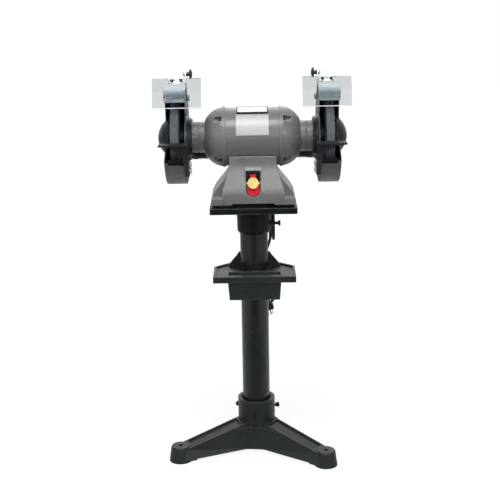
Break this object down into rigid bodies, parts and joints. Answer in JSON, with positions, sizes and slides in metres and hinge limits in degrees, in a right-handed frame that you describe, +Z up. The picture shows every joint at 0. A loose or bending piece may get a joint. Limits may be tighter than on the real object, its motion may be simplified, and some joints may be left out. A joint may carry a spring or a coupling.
{
  "type": "bench grinder with stand",
  "caption": "Bench grinder with grinding wheels, guards, eye shields, tool rests and dust hoses, bolted to a pedestal stand with a tool tray, water pot and tripod foot.",
  "frame": {"origin": "on the floor under the column, at the centre of the three anchor holes", "axes": "+X to the right of someone standing at the wheels, +Y away from them, +Z up"},
  "size_m": [0.509, 0.4326, 1.0735],
  "materials": {
    "stand_black": "semi-gloss charcoal paint on castings",
    "column_black": "semi-gloss charcoal paint on pipe",
    "casting_grey": "satin grey enamel on cast alloy",
    "base_grey": "satin grey enamel",
    "guard_grey": "satin grey enamel, black inside",
    "barrel_grey": "satin grey enamel",
    "zinc": "bright zinc plate",
    "steel": "machined",
    "black_steel": "black oxide",
    "rest_black": "black paint",
    "grit": "vitrified grit",
    "red": "moulded",
    "yellow": "moulded",
    "black_plastic": "moulded",
    "rubber": "moulded",
    "plate_white": "printed blank plate",
    "clear": "clear polycarbonate",
    "windings": "laminations"
  },
  "bodies": {
    "frame": {"stand_base": "stand_black", "stand_column": "column_black", "base_set_screws": "black_steel", "top_plate": "stand_black", "plate_set_screws": "black_steel", "grinder_base": "base_grey", "rubber_pads": "rubber", "base_bolts": "zinc", "start_capacitor": "black_plastic", "switch_body": "black_plastic", "motor_barrel": "barrel_grey", "stator": "windings", "shaft_bearings": "steel", "left_end_bell": "casting_grey", "right_end_bell": "casting_grey", "casing_screws": "black_steel", "name_plate": "plate_white", "rating_plate": "plate_white", "left_guard": "guard_grey", "right_guard": "guard_grey", "left_guard_cover": "guard_grey", "right_guard_cover": "guard_grey", "cover_screws": "zinc", "tool_rest_bolts": "zinc", "arrester_bolts": "zinc", "left_shield_arm": "zinc", "right_shield_arm": "zinc", "left_dust_hose": "rubber", "right_dust_hose": "rubber", "dust_manifold": "black_plastic", "cord_gland": "rubber", "cord_lead": "rubber", "cord_hank": "rubber", "hank_tie": "black_plastic", "cord_tail": "rubber", "plug_body": "rubber", "plug_blades": "zinc"},
    "spindle": {"arbor_shaft": "steel", "rotor": "windings", "left_wheel": "grit", "right_wheel": "grit", "wheel_flanges": "black_steel", "wheel_nuts": "black_steel"},
    "rocker": {"switch_rocker": "red"},
    "key": {"safety_key": "yellow"},
    "left_rest": {"left_tool_rest": "rest_black"},
    "right_rest": {"right_tool_rest": "rest_black"},
    "left_arrester": {"left_spark_arrester": "zinc"},
    "right_arrester": {"right_spark_arrester": "zinc"},
    "left_shield": {"left_shield_bracket": "zinc", "left_eye_shield": "clear", "left_shield_screws": "black_steel"},
    "right_shield": {"right_shield_bracket": "zinc", "right_eye_shield": "clear", "right_shield_screws": "black_steel"},
    "left_clamp_knob": {"left_knob": "black_plastic"},
    "right_clamp_knob": {"right_knob": "black_plastic"},
    "tray": {"tool_tray": "stand_black", "tray_clamp_bolt": "black_steel"},
    "pot": {"water_pot": "column_black"}
  },
  "joints": [
    {"name": "spindle_turn", "type": "hinge", "parent": "frame", "child": "spindle", "pos_m": [0, 0, 0.89], "axis": [1, 0, 0], "continuous": true},
    {"name": "rocker_tilt", "type": "hinge", "parent": "frame", "child": "rocker", "pos_m": [0, -0.0778, 0.776], "axis": [-1, 0, 0], "range_deg": [0, 12]},
    {"name": "key_pull", "type": "slide", "parent": "rocker", "child": "key", "axis": [0, -1, 0], "range_m": [0, 0.025]},
    {"name": "left_rest_slide", "type": "slide", "parent": "frame", "child": "left_rest", "axis": [0, -1, 0], "range_m": [0, 0.02]},
    {"name": "left_arrester_slide", "type": "slide", "parent": "frame", "child": "left_arrester", "axis": [0, -0.4695, 0.8829], "range_m": [-0.004, 0.012]},
    {"name": "left_shield_tilt", "type": "hinge", "parent": "frame", "child": "left_shield", "pos_m": [0, -0.062, 1.061], "axis": [-1, 0, 0], "range_deg": [-4, 70]},
    {"name": "left_knob_turn", "type": "hinge", "parent": "frame", "child": "left_clamp_knob", "pos_m": [0, -0.062, 1.061], "axis": [1, 0, 0], "continuous": true},
    {"name": "right_rest_slide", "type": "slide", "parent": "frame", "child": "right_rest", "axis": [0, -1, 0], "range_m": [0, 0.02]},
    {"name": "right_arrester_slide", "type": "slide", "parent": "frame", "child": "right_arrester", "axis": [0, -0.4695, 0.8829], "range_m": [-0.004, 0.012]},
    {"name": "right_shield_tilt", "type": "hinge", "parent": "frame", "child": "right_shield", "pos_m": [0, -0.062, 1.061], "axis": [-1, 0, 0], "range_deg": [-4, 70]},
    {"name": "right_knob_turn", "type": "hinge", "parent": "frame", "child": "right_clamp_knob", "pos_m": [0, -0.062, 1.061], "axis": [1, 0, 0], "continuous": true},
    {"name": "tray_height", "type": "slide", "parent": "frame", "child": "tray", "axis": [0, 0, 1], "range_m": [-0.3, 0.02]},
    {"name": "pot_lift", "type": "slide", "parent": "tray", "child": "pot", "axis": [0, 0, 1], "range_m": [0, 0.072]}
  ]
}
